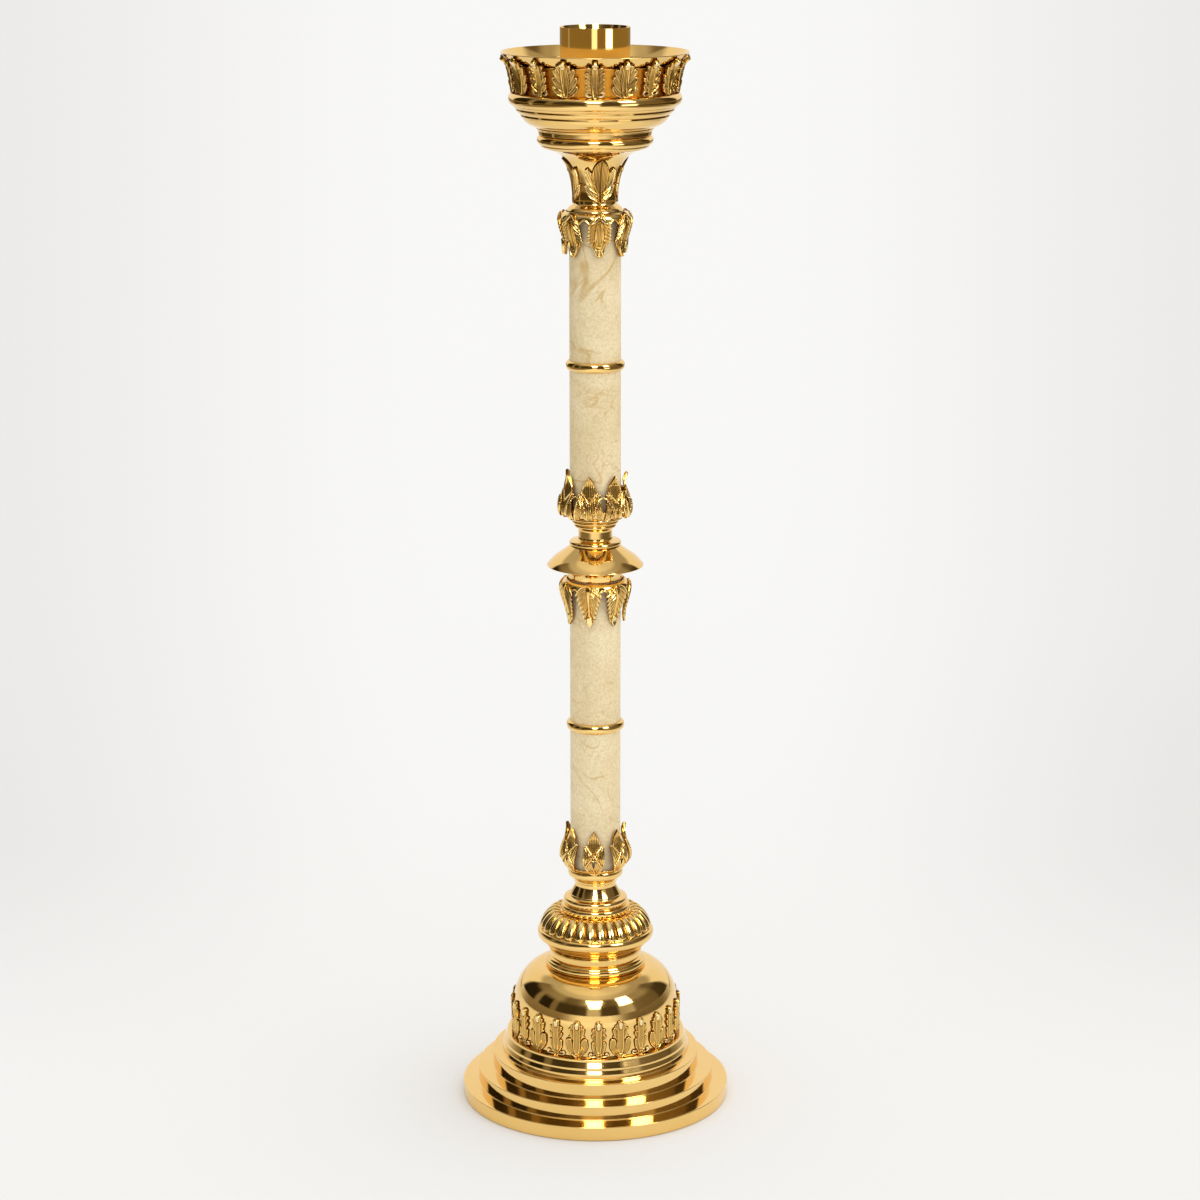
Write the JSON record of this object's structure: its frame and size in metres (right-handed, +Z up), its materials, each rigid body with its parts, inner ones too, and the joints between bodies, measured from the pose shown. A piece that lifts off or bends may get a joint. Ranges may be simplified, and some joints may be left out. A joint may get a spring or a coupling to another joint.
{
  "type": "paschal candlestick",
  "caption": "Tall floor candlestick for a paschal candle: brass and marble shaft on a stepped round base, with acanthus leaf crowns, a gadrooned knop and a drip bowl round the candle socket.",
  "frame": {"origin": "on the floor at the middle of the round base, on the axis of the shaft", "axes": "+Z up along the shaft, -Y towards the viewer of the picture, +X to that viewer's right"},
  "size_m": [0.28, 0.28, 1.118],
  "materials": {
    "polished_brass": "polished and lacquered, gold tone",
    "satin_brass": "cast leaf work, satin gold with bright edges",
    "marble": "polished cream marble with tan veins",
    "steel": "zinc-plated, plain",
    "cast_iron": "raw casting",
    "felt": "green felt"
  },
  "bodies": {
    "root": {"stepped_base": "polished_brass", "dome": "polished_brass", "dome_spool": "polished_brass", "knop_bowl": "polished_brass", "gadroon_cap": "polished_brass", "shank_spool": "polished_brass", "lower_shaft_ring": "polished_brass", "disc_knop": "polished_brass", "necking": "polished_brass", "upper_shaft_ring": "polished_brass", "trumpet_neck": "polished_brass", "bowl_foot": "polished_brass", "bowl_body": "polished_brass", "bowl_rim": "polished_brass", "drip_pan": "polished_brass", "candle_socket": "polished_brass", "candle_seat": "polished_brass", "dome_leaf_gallery": "satin_brass", "base_calyx": "satin_brass", "middle_crown": "satin_brass", "middle_calyx": "satin_brass", "top_crown": "satin_brass", "neck_leaf_1": "satin_brass", "neck_leaf_2": "satin_brass", "neck_leaf_3": "satin_brass", "neck_leaf_4": "satin_brass", "bowl_leaf_gallery": "satin_brass", "lower_shaft_bottom_tube": "marble", "lower_shaft_top_tube": "marble", "upper_shaft_bottom_tube": "marble", "upper_shaft_top_tube": "marble", "tie_rod": "steel", "base_plate": "steel", "bottom_washer": "steel", "bottom_nut": "steel", "pan_spacer": "steel", "top_washer": "steel", "top_nut": "steel", "base_weight": "cast_iron", "base_felt": "felt"}
  },
  "joints": []
}
